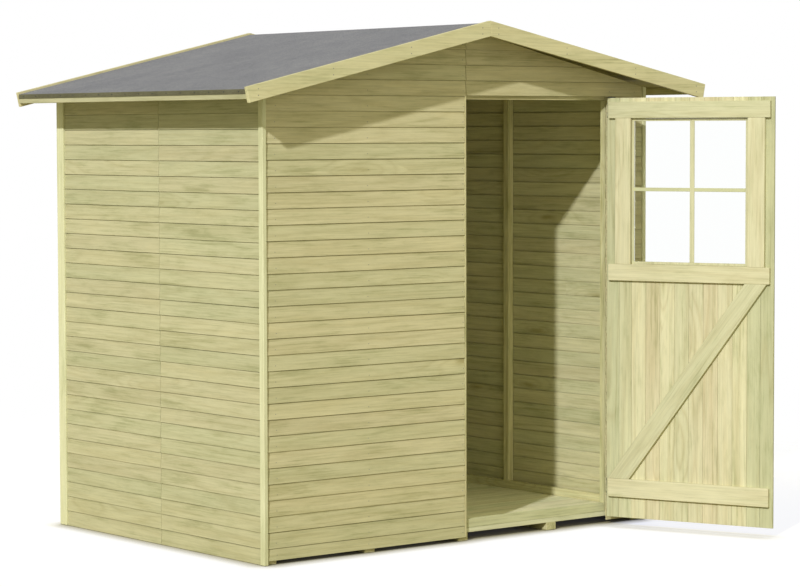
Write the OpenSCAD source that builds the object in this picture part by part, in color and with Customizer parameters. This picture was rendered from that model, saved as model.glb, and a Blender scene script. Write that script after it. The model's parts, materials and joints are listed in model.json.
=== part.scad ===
// Timber garden shed with an apex roof, gable to the front, and one ledged and braced door.
// Lengths are in mm. +X is to the right seen from the front, +Y to the rear, +Z up.
// The origin is on the ground, at the centre of the walls.

/* [Walls] */
// width of the walls over the corner trims, left to right
wall_w = 1984; // [1800:8:2400]
// depth of the walls over the corner trims, front to rear
wall_d = 1458; // [1200:6:2202]
// thickness of the wall boarding
clad_t = 12; // [10:1:16]
// how far the corner trims stand out from the boarding
trim_proud = 5; // [5:1:8]
// width of the front corner trims on the side walls
front_trim_w = 28; // [22:1:50]
// width of the rear corner trims on the side walls
rear_trim_w = 50; // [28:1:60]
// gap between the ground and the front and rear boarding
skirt_gap = 15; // [5:1:25]
// width of a stud or rail along the wall
stud_w = 34; // [28:1:50]
// depth of a stud or rail into the room
stud_d = 28; // [24:1:45]
// position of the panel joint in the left wall, from the middle of the depth
left_seam_y = -20; // [-100:1:100]
// position of the panel joint in the right wall, from the middle of the depth
right_seam_y = 115; // [-100:1:130]

/* [Floor] */
// height of a bearer
bearer_h = 31; // [25:1:50]
// width of a bearer
bearer_w = 50; // [38:1:75]
// thickness of the floor boards
floor_t = 19; // [12:1:22]

/* [Roof] */
// height of the roof covering at the ridge
ridge_z = 2062; // [2040:1:2200]
// height of the roof covering at the left eaves, which also sets the slope of the gables
eaves_z = 1794; // [1780:1:1834]
// height of the roof covering at the right eaves, where the roof stands off its wall
right_eaves_z = 1827; // [1794:1:1834]
// side overhang of the roof
side_over = 180; // [140:5:220]
// front overhang of the roof, bargeboard included
front_over = 156; // [100:2:200]
// thickness of the roof boards
roof_t = 12; // [10:1:16]
// thickness of the roofing felt
felt_t = 3; // [2:0.5:4]
// depth of the felt turned down over the eaves
felt_drop = 18; // [15:1:28]
// depth of the fascia, measured from the roof covering
fascia_h = 37; // [34:1:50]
// thickness of the fascia
fascia_t = 12; // [10:1:18]
// depth of a bargeboard
barge_h = 60; // [50:1:70]
// thickness of a bargeboard
barge_t = 16; // [12:1:20]
// how far a bargeboard stands up past the roof covering
barge_lip = 8; // [3:1:15]
// depth of the ridge beam
beam_h = 58; // [44:1:90]
// thickness of the ridge beam
beam_w = 38; // [30:2:50]

/* [Door] */
// width of the doorway
opening_w = 762; // [700:2:820]
// left edge of the doorway, from the middle of the front
opening_x = 10; // [6:1:40]
// underside of the boarding over the doorway
head_z = 1780; // [1740:1:1790]
// width of the door
door_w = 742; // [680:2:796]
// underside of the door, from the ground
door_z = 36; // [25:1:45]
// thickness of the door boards
door_t = 12; // [10:1:16]
// gap between the door and its hinge side, and over the door
door_gap = 6; // [6:1:10]
// depth of the ledges, brace and stiles behind the boards
ledge_t = 16; // [12:1:22]
// height of a ledge
ledge_h = 68; // [50:1:95]
// angle that the door stands open at rest
open_angle = 111; // [90:1:120]

/* [Window] */
// clear width of the window
window_w = 494; // [380:2:500]
// clear height of the window
window_h = 577; // [400:1:577]
// hinge edge of the door to the near side of the window
window_in = 123; // [120:1:150]
// top of the door to the top of the window
window_down = 96; // [96:1:140]
// width of the bead around the pane
bead_w = 10; // [8:1:12]
// thickness of the pane
glass_t = 4; // [3:0.5:5]

/* [Hinges] */
// length of a strap on the door
strap_l = 300; // [200:10:400]
// thickness of the hinge plates
plate_t = 3; // [2:0.5:4]
// radius of a hinge pin
pin_r = 4; // [3:0.5:5]

/* [Hidden] */
$fn = 48;
// clearance between the pin and the eye that turns on it, radial
pin_gap = 0.05;
// clearance between the pieces that move and the pieces they close against
shut_gap = 5;
// gap left where a sloping face seats against another
seat = 0.2;

pine = [0.74, 0.68, 0.48];
pine_dark = [0.62, 0.55, 0.38];
felt_grey = [0.42, 0.46, 0.48];
pane_tint = [0.75, 0.85, 0.85, 0.4];
zinc = [0.45, 0.45, 0.46];

half_w = wall_w / 2;
half_d = wall_d / 2;
// wall boarding: outer and inner faces
clad_x0 = half_w - trim_proud;
clad_x1 = half_w - trim_proud - clad_t;
clad_y0 = half_d - trim_proud;
clad_y1 = half_d - trim_proud - clad_t;
// room side of the frame
room_x = clad_x1 - stud_d;
room_y = clad_y1 - stud_d;

// roof: half width, slope and the faces under the covering
roof_x = half_w + side_over;
slope = (ridge_z - eaves_z) / roof_x;
right_slope = (ridge_z - right_eaves_z) / roof_x;
roof_front = -half_d - front_over + barge_t;
roof_rear = half_d;
// a thickness across a slope s, measured upright
function upright(t, s) = t / cos(atan(s));
// at x on a slope s: the roof covering, its underside, and the roof boards' top and underside
function cover_z(x, s) = ridge_z - s * abs(x);
function felt_z(x, s) = cover_z(x, s) - upright(felt_t, s);
function board_z(x, s) = felt_z(x, s) - seat;
function under_z(x, s) = board_z(x, s) - upright(roof_t, s);
// the top of the walls at x
function wall_z(x) = under_z(x, slope) - seat;

// floor levels
deck_z0 = bearer_h;
deck_z1 = bearer_h + floor_t;
sill_z = deck_z1 + stud_w;

// eaves
fascia_x = roof_x - felt_t;
board_x = fascia_x - fascia_t;
batten_x = board_x - stud_d;
// how far the bargeboards run past the roof, at the left and at the right
barge_past = 3;
right_barge_past = 13;

// doorway
jamb_x = opening_x + opening_w;
head_drop = 16;
rail_z0 = head_z - head_drop;
beam_z = wall_z(0) - beam_h;

// door, closed
door_x1 = jamb_x - door_gap;
door_x0 = door_x1 - door_w;
door_z1 = head_z - door_gap;
door_y1 = -clad_y1 - shut_gap;
door_y0 = door_y1 - door_t;
ledge_y1 = door_y1 + ledge_t;
ledge_in = 12;
ledge_out = 14;
ledge_x0 = door_x0 + ledge_out;
ledge_x1 = door_x1 - ledge_in;
window_x1 = door_x1 - window_in;
window_x0 = window_x1 - window_w;
window_z1 = door_z1 - window_down;
window_z0 = window_z1 - window_h;
hole_x0 = window_x0 - bead_w;
hole_x1 = window_x1 + bead_w;
hole_z0 = window_z0 - bead_w;
hole_z1 = window_z1 + bead_w;
stile_w = 70;
// the stile at the free side is wider, and stands off the bead
free_stile_w = 74;
free_stile_gap = 4;
// a ledge stands 2 mm clear of the window bead above or below it
bead_gap = 2;
low_ledge_z = door_z + 86;
low_ledge_h = ledge_h + 8;
mid_ledge_z = hole_z0 - bead_gap - ledge_h;
top_ledge_z = hole_z1 + bead_gap;
brace_w = 96;

// hinges
eye_r = pin_r + 3;
pin_x = jamb_x - door_gap / 2;
pin_y = door_y0 - shut_gap - eye_r;
strap_h = 40;
tip_h = 24;
lug_h = 10;
lug_gap = 2;
lug_reach = 12;
bracket_w = 40;
bracket_h = 110;
low_hinge_z = low_ledge_z + low_ledge_h / 2;
top_hinge_z = top_ledge_z + ledge_h / 2;

// a box between two corners
module block(x0, x1, y0, y1, z0, z1) {
  translate([x0, y0, z0])
    cube([x1 - x0, y1 - y0, z1 - z0]);
}

// a flat shape in X and Z, carried from y0 to y1
module slab_y(points, y0, y1) {
  translate([0, y1, 0])
    rotate([90, 0, 0])
      linear_extrude(height = y1 - y0)
        polygon(points);
}

// everything under the line of the wall tops
module under_roof(y0, y1) {
  slab_y([
    [-roof_x, -1],
    [roof_x, -1],
    [roof_x, wall_z(roof_x)],
    [0, wall_z(0)],
    [-roof_x, wall_z(roof_x)]
  ], y0, y1);
}

// a wall piece cut to the roof
module cut_block(x0, x1, y0, y1, z0) {
  intersection() {
    block(x0, x1, y0, y1, z0, ridge_z);
    under_roof(y0 - 1, y1 + 1);
  }
}

// left half mirrored to the right
module other_side() {
  mirror([1, 0, 0])
    children();
}

// turns the closed door to where it stands open
module opened() {
  translate([pin_x, pin_y, 0])
    rotate([0, 0, open_angle])
      translate([-pin_x, -pin_y, 0])
        children();
}

// ---- floor ----

module bearers() {
  edge = clad_x1 - bearer_w / 2;
  color(pine_dark)
    for (x = [-edge, -edge / 2, 0, edge / 2, edge])
      block(x - bearer_w / 2, x + bearer_w / 2, -clad_y1, clad_y1, 0, deck_z0);
}

module floor_deck() {
  color(pine)
    block(-clad_x1, clad_x1, -clad_y1, clad_y1, deck_z0, deck_z1);
}

// ---- wall boarding ----

module front_wall_left() {
  color(pine)
    cut_block(-clad_x1, opening_x, -clad_y0, -clad_y1, skirt_gap);
}

module front_wall_right() {
  color(pine)
    block(jamb_x, clad_x1, -clad_y0, -clad_y1, skirt_gap, head_z);
}

module front_gable() {
  color(pine)
    cut_block(opening_x, clad_x1, -clad_y0, -clad_y1, head_z);
}

module rear_wall_left() {
  color(pine)
    cut_block(-clad_x1, 0, clad_y1, clad_y0, skirt_gap);
}

module rear_wall_right() {
  color(pine)
    cut_block(0, clad_x1, clad_y1, clad_y0, skirt_gap);
}

module left_wall_front() {
  color(pine)
    cut_block(-clad_x0, -clad_x1, -half_d + front_trim_w, left_seam_y, 0);
}

module left_wall_rear() {
  color(pine)
    cut_block(-clad_x0, -clad_x1, left_seam_y, half_d - rear_trim_w, 0);
}

module right_wall_front() {
  color(pine)
    cut_block(clad_x1, clad_x0, -half_d + front_trim_w, right_seam_y, 0);
}

module right_wall_rear() {
  color(pine)
    cut_block(clad_x1, clad_x0, right_seam_y, half_d - rear_trim_w, 0);
}

// ---- wall frames ----

// underside of the sloping rail or of the side wall's top rail at x
function rail_under(x) = wall_z(x) - upright(stud_w, slope);
side_rail_z = rail_under(clad_x1);

// a stud in a gable wall, cut to the sloping rail
module gable_stud(x, y0, y1) {
  slab_y([
    [x, sill_z],
    [x + stud_w, sill_z],
    [x + stud_w, rail_under(x + stud_w) - seat],
    [x, rail_under(x) - seat]
  ], y0, y1);
}

// the two rails under the roof boards of a gable wall
module sloping_rails(y0, y1) {
  for (s = [-1, 1])
    slab_y([
      [s * room_x, rail_under(room_x)],
      [s * beam_w / 2, rail_under(beam_w / 2)],
      [s * beam_w / 2, wall_z(beam_w / 2)],
      [s * room_x, wall_z(room_x)]
    ], y0, y1);
}

module front_studs() {
  middle = (opening_x - stud_w - room_x) / 2;
  color(pine_dark) {
    gable_stud(-room_x, -clad_y1, -room_y);
    gable_stud(middle - stud_w / 2, -clad_y1, -room_y);
    block(opening_x - stud_w, opening_x, -clad_y1, -room_y, sill_z, beam_z);
    gable_stud(jamb_x, -clad_y1, -room_y);
    gable_stud(room_x - stud_w, -clad_y1, -room_y);
  }
}

module front_rails() {
  color(pine_dark) {
    block(-room_x, opening_x, -clad_y1, -room_y, deck_z1, sill_z);
    block(jamb_x, room_x, -clad_y1, -room_y, deck_z1, sill_z);
    sloping_rails(-clad_y1, -room_y);
  }
}

module threshold() {
  color(pine_dark)
    block(opening_x, jamb_x, -clad_y1, -room_y, deck_z1, sill_z);
}

module door_head() {
  color(pine_dark)
    block(opening_x, jamb_x, -clad_y1, -room_y, rail_z0, rail_z0 + stud_w);
}

// the three studs of a side wall, drawn at the left
module side_studs(seam_y) {
  front_y = -clad_y1;
  rear_y = clad_y1 - stud_w;
  seam = seam_y - stud_w / 2;
  for (y = [front_y, seam, rear_y])
    block(-clad_x1, -room_x, y, y + stud_w, sill_z, side_rail_z);
}

// the bottom and top rails of a side wall, drawn at the left
module side_rails() {
  block(-clad_x1, -room_x, -clad_y1, clad_y1, deck_z1, sill_z);
  slab_y([
    [-clad_x1, side_rail_z],
    [-room_x, side_rail_z],
    [-room_x, wall_z(room_x)],
    [-clad_x1, wall_z(clad_x1)]
  ], -clad_y1, clad_y1);
}

module left_studs() {
  color(pine_dark)
    side_studs(left_seam_y);
}

module left_rails() {
  color(pine_dark)
    side_rails();
}

module right_studs() {
  color(pine_dark)
    other_side()
      side_studs(right_seam_y);
}

module right_rails() {
  color(pine_dark)
    other_side()
      side_rails();
}

module rear_studs() {
  color(pine_dark) {
    gable_stud(-room_x, room_y, clad_y1);
    gable_stud(-(room_x + stud_w) / 2, room_y, clad_y1);
    block(-stud_w / 2, stud_w / 2, room_y, clad_y1, sill_z, beam_z);
    gable_stud((room_x - stud_w) / 2, room_y, clad_y1);
    gable_stud(room_x - stud_w, room_y, clad_y1);
  }
}

module rear_rails() {
  color(pine_dark) {
    block(-room_x, room_x, room_y, clad_y1, deck_z1, sill_z);
    sloping_rails(room_y, clad_y1);
  }
}

module ridge_beam() {
  color(pine_dark)
    slab_y([
      [-beam_w / 2, beam_z],
      [beam_w / 2, beam_z],
      [beam_w / 2, wall_z(beam_w / 2)],
      [0, wall_z(0)],
      [-beam_w / 2, wall_z(beam_w / 2)]
    ], -clad_y1, clad_y1);
}

// ---- corner trims ----

// a left corner trim from y0 to y1
module corner_trim(y0, y1) {
  intersection() {
    block(-half_w, -clad_x1, y0, y1, 0, ridge_z);
    under_roof(y0 - 1, y1 + 1);
  }
}

module trim_front_left() {
  color(pine)
    corner_trim(-half_d, -half_d + front_trim_w);
}

module trim_front_right() {
  color(pine)
    other_side()
      corner_trim(-half_d, -half_d + front_trim_w);
}

module trim_rear_left() {
  color(pine)
    corner_trim(half_d - rear_trim_w, half_d);
}

module trim_rear_right() {
  color(pine)
    other_side()
      corner_trim(half_d - rear_trim_w, half_d);
}

// ---- roof: each piece is drawn at the left on a slope s ----

module roof_slope(s) {
  slab_y([
    [-board_x, under_z(board_x, s)],
    [0, under_z(0, s)],
    [0, board_z(0, s)],
    [-board_x, board_z(board_x, s)]
  ], roof_front, roof_rear);
}

// underside of the fascia and the batten behind it
function fascia_z(s) = cover_z(roof_x, s) - fascia_h;

module eaves_batten(s) {
  slab_y([
    [-board_x, fascia_z(s)],
    [-batten_x, fascia_z(s)],
    [-batten_x, under_z(batten_x, s) - seat],
    [-board_x, under_z(board_x, s) - seat]
  ], roof_front, roof_rear);
}

module fascia(s) {
  slab_y([
    [-fascia_x, fascia_z(s)],
    [-board_x, fascia_z(s)],
    [-board_x, board_z(board_x, s)],
    [-fascia_x, board_z(fascia_x, s)]
  ], roof_front, roof_rear);
}

module felt(s) {
  fold_z = cover_z(roof_x, s) - felt_drop;
  slab_y([
    [0, felt_z(0, s)],
    [0, cover_z(0, s)],
    [-roof_x, cover_z(roof_x, s)],
    [-roof_x, fold_z],
    [-fascia_x, fold_z],
    [-fascia_x, felt_z(fascia_x, s)]
  ], roof_front, roof_rear);
}

// a bargeboard from y0 to y1: mitred at the ridge, cut square at the eaves, and run past the roof
module bargeboard(s, past, y0, y1) {
  depth = upright(barge_h, s);
  end_x = roof_x + past;
  back = barge_h * sin(atan(s));
  slab_y([
    [0, cover_z(0, s) + barge_lip],
    [-end_x, cover_z(end_x, s) + barge_lip],
    [-end_x + back, cover_z(end_x - back, s) + barge_lip - depth],
    [0, cover_z(0, s) + barge_lip - depth]
  ], y0, y1);
}

module roof_left() {
  color(pine)
    roof_slope(slope);
}

module roof_right() {
  color(pine)
    other_side()
      roof_slope(right_slope);
}

module eaves_battens() {
  color(pine_dark) {
    eaves_batten(slope);
    other_side()
      eaves_batten(right_slope);
  }
}

module fascia_left() {
  color(pine)
    fascia(slope);
}

module fascia_right() {
  color(pine)
    other_side()
      fascia(right_slope);
}

module felt_left() {
  color(felt_grey)
    felt(slope);
}

module felt_right() {
  color(felt_grey)
    other_side()
      felt(right_slope);
}

module barge_front_left() {
  color(pine)
    bargeboard(slope, barge_past, roof_front - barge_t, roof_front);
}

module barge_front_right() {
  color(pine)
    other_side()
      bargeboard(right_slope, right_barge_past, roof_front - barge_t, roof_front);
}

module barge_rear_left() {
  color(pine)
    bargeboard(slope, barge_past, roof_rear, roof_rear + barge_t);
}

module barge_rear_right() {
  color(pine)
    other_side()
      bargeboard(right_slope, right_barge_past, roof_rear, roof_rear + barge_t);
}

// ---- door, drawn closed and then opened ----

module door_boards() {
  color(pine)
    opened()
      difference() {
        block(door_x0, door_x1, door_y0, door_y1, door_z, door_z1);
        block(hole_x0, hole_x1, door_y0 - 1, door_y1 + 1, hole_z0, hole_z1);
      }
}

module door_ledges() {
  color(pine)
    opened()
      for (ledge = [[low_ledge_z, low_ledge_h], [mid_ledge_z, ledge_h], [top_ledge_z, ledge_h]])
        block(ledge_x0, ledge_x1, door_y1, ledge_y1, ledge[0], ledge[0] + ledge[1]);
}

module door_brace() {
  color(pine)
    opened()
      slab_y([
        [ledge_x1, low_ledge_z + low_ledge_h],
        [ledge_x1 - brace_w, low_ledge_z + low_ledge_h],
        [ledge_x0 + ledge_in, mid_ledge_z],
        [ledge_x0 + ledge_in + brace_w, mid_ledge_z]
      ], door_y1, ledge_y1);
}

module door_stiles() {
  color(pine)
    opened() {
      block(hole_x0 - free_stile_gap - free_stile_w, hole_x0 - free_stile_gap, door_y1, ledge_y1, mid_ledge_z + ledge_h, top_ledge_z);
      block(hole_x1, hole_x1 + stile_w, door_y1, ledge_y1, mid_ledge_z + ledge_h, top_ledge_z);
    }
}

module window_frame() {
  color(pine)
    opened()
      difference() {
        block(hole_x0, hole_x1, door_y0, door_y1, hole_z0, hole_z1);
        block(window_x0, window_x1, door_y0 - 1, door_y1 + 1, window_z0, window_z1);
      }
}

module window_glass() {
  middle_y = (door_y0 + door_y1) / 2;
  color(pane_tint)
    opened()
      block(window_x0, window_x1, middle_y - glass_t / 2, middle_y + glass_t / 2, window_z0, window_z1);
}

// ---- hinges ----

// the strap on the door, with the eye that turns on the pin
module strap(z) {
  block_w = eye_r + pin_r;
  difference() {
    union() {
      slab_y([
        [pin_x - strap_l, z - tip_h / 2],
        [pin_x - block_w, z - strap_h / 2],
        [pin_x - block_w, z + strap_h / 2],
        [pin_x - strap_l, z + tip_h / 2]
      ], door_y0 - plate_t, door_y0);
      block(pin_x - block_w, pin_x - door_gap / 2, pin_y, door_y0, z - strap_h / 2, z + strap_h / 2);
      translate([pin_x, pin_y, z - strap_h / 2])
        cylinder(r = eye_r, h = strap_h);
    }
    translate([pin_x, pin_y, z - strap_h])
      cylinder(r = pin_r + pin_gap, h = 2 * strap_h);
  }
}

// the plate on the wall, with its pin
module bracket(z) {
  arm_x = pin_x + door_gap / 2;
  union() {
    block(arm_x + lug_reach / 2, arm_x + lug_reach / 2 + bracket_w, -clad_y0 - plate_t, -clad_y0, z - bracket_h / 2, z + bracket_h / 2);
    for (low = [z - strap_h / 2 - lug_gap - lug_h, z + strap_h / 2 + lug_gap]) {
      block(arm_x, arm_x + lug_reach, pin_y - eye_r, -clad_y0, low, low + lug_h);
      translate([pin_x, pin_y, low])
        cylinder(r = eye_r, h = lug_h);
    }
    translate([pin_x, pin_y, z - strap_h / 2 - lug_gap - lug_h])
      cylinder(r = pin_r, h = strap_h + 2 * lug_gap + 2 * lug_h);
  }
}

module hinge_straps() {
  color(zinc)
    opened()
      for (z = [low_hinge_z, top_hinge_z])
        strap(z);
}

module hinge_brackets() {
  color(zinc)
    for (z = [low_hinge_z, top_hinge_z])
      bracket(z);
}

bearers();
floor_deck();
front_wall_left();
front_wall_right();
front_gable();
left_wall_front();
left_wall_rear();
right_wall_front();
right_wall_rear();
rear_wall_left();
rear_wall_right();
front_studs();
front_rails();
threshold();
door_head();
left_studs();
left_rails();
right_studs();
right_rails();
rear_studs();
rear_rails();
ridge_beam();
trim_front_left();
trim_front_right();
trim_rear_left();
trim_rear_right();
roof_left();
roof_right();
eaves_battens();
fascia_left();
fascia_right();
felt_left();
felt_right();
barge_front_left();
barge_front_right();
barge_rear_left();
barge_rear_right();
hinge_brackets();
door_boards();
door_ledges();
door_brace();
door_stiles();
window_frame();
window_glass();
hinge_straps();
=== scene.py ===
import json
import math
import random

import bmesh
import bpy
from mathutils import Matrix, Vector, noise


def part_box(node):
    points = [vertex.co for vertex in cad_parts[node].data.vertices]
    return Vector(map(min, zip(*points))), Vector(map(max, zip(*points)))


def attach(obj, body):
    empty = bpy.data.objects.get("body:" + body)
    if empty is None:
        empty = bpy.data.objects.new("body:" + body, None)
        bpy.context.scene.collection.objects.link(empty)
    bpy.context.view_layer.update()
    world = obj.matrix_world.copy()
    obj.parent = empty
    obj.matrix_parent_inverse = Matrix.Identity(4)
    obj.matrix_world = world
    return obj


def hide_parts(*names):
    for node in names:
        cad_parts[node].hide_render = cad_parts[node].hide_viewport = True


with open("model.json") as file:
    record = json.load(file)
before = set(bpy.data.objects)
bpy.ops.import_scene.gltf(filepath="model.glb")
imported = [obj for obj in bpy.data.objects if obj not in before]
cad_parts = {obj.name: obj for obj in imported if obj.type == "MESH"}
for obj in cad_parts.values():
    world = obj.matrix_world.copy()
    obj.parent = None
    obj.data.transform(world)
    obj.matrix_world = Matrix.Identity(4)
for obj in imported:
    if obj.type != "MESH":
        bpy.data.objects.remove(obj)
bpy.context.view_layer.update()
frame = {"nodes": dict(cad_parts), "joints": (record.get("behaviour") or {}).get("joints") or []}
nodes = frame["nodes"]
scene = bpy.context.scene
draw = random.Random(7)
print("frame loaded,", len(nodes), "nodes")

view = {
    "place": (-6.9987, -9.0289, 1.6331), "yaw": 0.67656, "pitch": 0.05884, "roll": -0.00254,
    "lens": 122.88, "sensor": 36, "farthest": 80,
}
cameraData = bpy.data.cameras.new("camera")
cameraData.lens = view["lens"]
cameraData.sensor_width = view["sensor"]
cameraData.clip_end = view["farthest"]
camera = bpy.data.objects.new("camera", cameraData)
turned = Matrix.Rotation(-view["yaw"], 4, "Z") @ Matrix.Rotation(math.pi / 2 - view["pitch"], 4, "X")
turned = turned @ Matrix.Rotation(view["roll"], 4, "Z")
camera.matrix_world = Matrix.Translation(view["place"]) @ turned
scene.collection.objects.link(camera)
scene.camera = camera

light = {
    "towards": (-0.777, -0.433, 0.457), "power": 2.35, "softness": 1.7,
    "sky": 0.40, "skyColor": (1.0, 0.95, 0.58, 1),
}
sunData = bpy.data.lights.new("key", "SUN")
sunData.energy = light["power"]
sunData.angle = math.radians(light["softness"])
sun = bpy.data.objects.new("key", sunData)
sun.rotation_euler = Vector(light["towards"]).to_track_quat("Z", "Y").to_euler()
scene.collection.objects.link(sun)
# a weak box in front, one behind that keeps the far sides readable, and one that fills the doorway
softboxes = {
    "frontBox": {
        "place": (-2.6, -7.0, 2.4), "aim": (0.5, 0.0, 0.9),
        "wide": 3.5, "tall": 3.5, "power": 40, "color": (1, 1, 1),
    },
    "farBox": {
        "place": (5.2, 6.0, 4.6), "aim": (0.0, 0.0, 1.0),
        "wide": 4.0, "tall": 4.0, "power": 230, "color": (1, 1, 1),
    },
    "doorwayBox": {
        "place": (0.39, -0.70, 0.9), "aim": (0.39, 0.0, 0.9),
        "wide": 0.74, "tall": 1.66, "power": 1.7, "color": (1, 0.96, 0.50),
    },
}
for boxName, lamp in softboxes.items():
    boxData = bpy.data.lights.new(boxName, "AREA")
    boxData.energy = lamp["power"]
    boxData.color = lamp["color"]
    boxData.shape = "RECTANGLE"
    boxData.size, boxData.size_y = lamp["wide"], lamp["tall"]
    box = bpy.data.objects.new(boxName, boxData)
    box.location = lamp["place"]
    box.rotation_euler = (Vector(lamp["place"]) - Vector(lamp["aim"])).to_track_quat("Z", "Y").to_euler()
    box.visible_camera = box.visible_transmission = box.visible_glossy = False
    scene.collection.objects.link(box)
scene.view_settings.view_transform = "Standard"
print("camera and lamps made")


# helpers for node trees
def link(tree, source, target):
    tree.links.new(source, target)


def addNode(tree, kind, **values):
    # a shader node with some of its settings and sockets given by name
    made = tree.nodes.new(kind)
    for key, value in values.items():
        if hasattr(made, key):
            setattr(made, key, value)
        else:
            made.inputs[key.replace("_", " ")].default_value = value
    return made


def feed(tree, value, socket):
    # a socket takes another socket's value, or a plain one
    if isinstance(value, bpy.types.NodeSocket):
        link(tree, value, socket)
    else:
        socket.default_value = value


def maths(tree, operation, a, b):
    made = addNode(tree, "ShaderNodeMath", operation=operation)
    feed(tree, a, made.inputs[0])
    feed(tree, b, made.inputs[1])
    return made.outputs[0]


def ranged(tree, value, low, high, toLow, toHigh, smooth=False):
    made = addNode(tree, "ShaderNodeMapRange", From_Min=low, From_Max=high, To_Min=toLow, To_Max=toHigh)
    if smooth:
        made.interpolation_type = "SMOOTHSTEP"
    link(tree, value, made.inputs["Value"])
    return made.outputs[0]


def toned(tree, value, stops):
    # a value turned into a colour by a ramp
    ramp = tree.nodes.new("ShaderNodeValToRGB")
    while len(ramp.color_ramp.elements) < len(stops):
        ramp.color_ramp.elements.new(0.5)
    for element, (at, color) in zip(ramp.color_ramp.elements, stops):
        element.position = at
        element.color = (*color, 1)
    link(tree, value, ramp.inputs[0])
    return ramp.outputs[0]


def mixColor(tree, blend, amount, a, b):
    made = tree.nodes.new("ShaderNodeMix")
    made.data_type = "RGBA"
    made.blend_type = blend
    for socket, value in ((made.inputs[0], amount), (made.inputs[6], a), (made.inputs[7], b)):
        feed(tree, value, socket)
    return made.outputs[2]


def mixShader(tree, amount, a, b):
    made = addNode(tree, "ShaderNodeMixShader")
    for socket, value in zip(made.inputs, (amount, a, b)):
        link(tree, value, socket)
    return made.outputs[0]


def bumped(tree, shader, height, strength, distance):
    bump = addNode(tree, "ShaderNodeBump", Strength=strength, Distance=distance)
    link(tree, height, bump.inputs["Height"])
    link(tree, bump.outputs[0], shader.inputs["Normal"])


def startMaterial(name):
    # a new material, its tree and shader, and the object's own coordinates
    material = bpy.data.materials.new(name)
    material.use_nodes = True
    tree = material.node_tree
    coords = addNode(tree, "ShaderNodeTexCoord")
    return material, tree, tree.nodes["Principled BSDF"], coords.outputs["Object"]


def seenDirectly(tree):
    # 1 for rays from the camera, or on from a mirror or a pane, until one has left a matt surface
    path = addNode(tree, "ShaderNodeLightPath")
    total = path.outputs["Is Camera Ray"]
    for name in ("Is Glossy Ray", "Is Transmission Ray"):
        total = maths(tree, "MAXIMUM", total, path.outputs[name])
    return maths(tree, "MULTIPLY", total, maths(tree, "LESS_THAN", path.outputs["Diffuse Depth"], 0.5))


world = bpy.data.worlds.new("sky")
world.use_nodes = True
skyTree = world.node_tree
skyTree.nodes.clear()
skyFill = addNode(skyTree, "ShaderNodeBackground", Color=light["skyColor"], Strength=light["sky"])
skySeen = addNode(skyTree, "ShaderNodeBackground", Color=(1, 1, 1, 1), Strength=1.0)
skyOut = addNode(skyTree, "ShaderNodeOutputWorld")
skyMixed = mixShader(skyTree, seenDirectly(skyTree), skyFill.outputs[0], skySeen.outputs[0])
link(skyTree, skyMixed, skyOut.inputs[0])
scene.world = world

floor = {
    "radius": 9.0, "sides": 64, "sink": 0.0015, "fadeFrom": 2.4, "fadeTo": 4.8, "color": (0.40, 0.36, 0.18, 1),
    # corner and its power set the reach and strength of the painted contact shadow under and around the shed
    "lift": (0.74, 0.77, 0.90, 1), "corner": 0.09, "contactShadePower": 2.1,
}


def floorMaterial():
    # matt, lifted to white where nothing is near, and clear towards the rim; near and under the shed the lift
    # fades, a painted contact shadow
    material, tree, shader, coords = startMaterial("paleFloor")
    tree.nodes.remove(shader)
    reach = addNode(tree, "ShaderNodeVectorMath", operation="LENGTH")
    link(tree, coords, reach.inputs[0])
    fade = ranged(tree, reach.outputs["Value"], floor["fadeFrom"], floor["fadeTo"], 0.0, 1.0, smooth=True)
    # ambient occlusion holds back the glow near the shed: painted shade under and around its base
    corner = addNode(tree, "ShaderNodeAmbientOcclusion", samples=12, Distance=floor["corner"])
    free = maths(tree, "POWER", corner.outputs["AO"], floor["contactShadePower"])
    matt = addNode(tree, "ShaderNodeBsdfDiffuse", Color=floor["color"])
    glow = addNode(tree, "ShaderNodeEmission", Color=floor["lift"])
    link(tree, maths(tree, "MULTIPLY", free, seenDirectly(tree)), glow.inputs["Strength"])
    both = addNode(tree, "ShaderNodeAddShader")
    link(tree, matt.outputs[0], both.inputs[0])
    link(tree, glow.outputs[0], both.inputs[1])
    clear = addNode(tree, "ShaderNodeBsdfTransparent")
    mixed = mixShader(tree, fade, both.outputs[0], clear.outputs[0])
    link(tree, mixed, tree.nodes["Material Output"].inputs["Surface"])
    return material


floorMesh = bmesh.new()
bmesh.ops.create_circle(floorMesh, cap_ends=True, radius=floor["radius"], segments=floor["sides"])
floorData = bpy.data.meshes.new("ground")
floorMesh.to_mesh(floorData)
floorMesh.free()
ground = bpy.data.objects.new("ground", floorData)
ground.location.z = -floor["sink"]
scene.collection.objects.link(ground)
ground.data.materials.append(floorMaterial())
print("floor made")

# turns that bring each board's length onto the pattern's X
grainAlong = {"x": (0, 0, 0), "y": (0, 0, -math.pi / 2), "z": (0, math.pi / 2, 0)}
# each layer's fineness along and across the grain, its detail, roughness and distortion
grain = {
    "log": (0.55, 8.5, 2.0, 0.4, 0.3), "fibre": (9.0, 330.0, 4.0, 0.6), "streak": (4.5, 150.0, 3.0, 0.65),
    "broad": (1.5, 42.0, 3.0, 0.55), "cloud": (3.2, 15.0, 4.0, 0.6), "blotch": (9.0, 34.0, 4.0, 0.65),
    "knotCells": (1.9, 8.5), "rings": 17.0, "boardShift": (17.3, 13.1, 15.7), "bump": 0.35, "bumpHeight": 0.0010,
}
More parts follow.
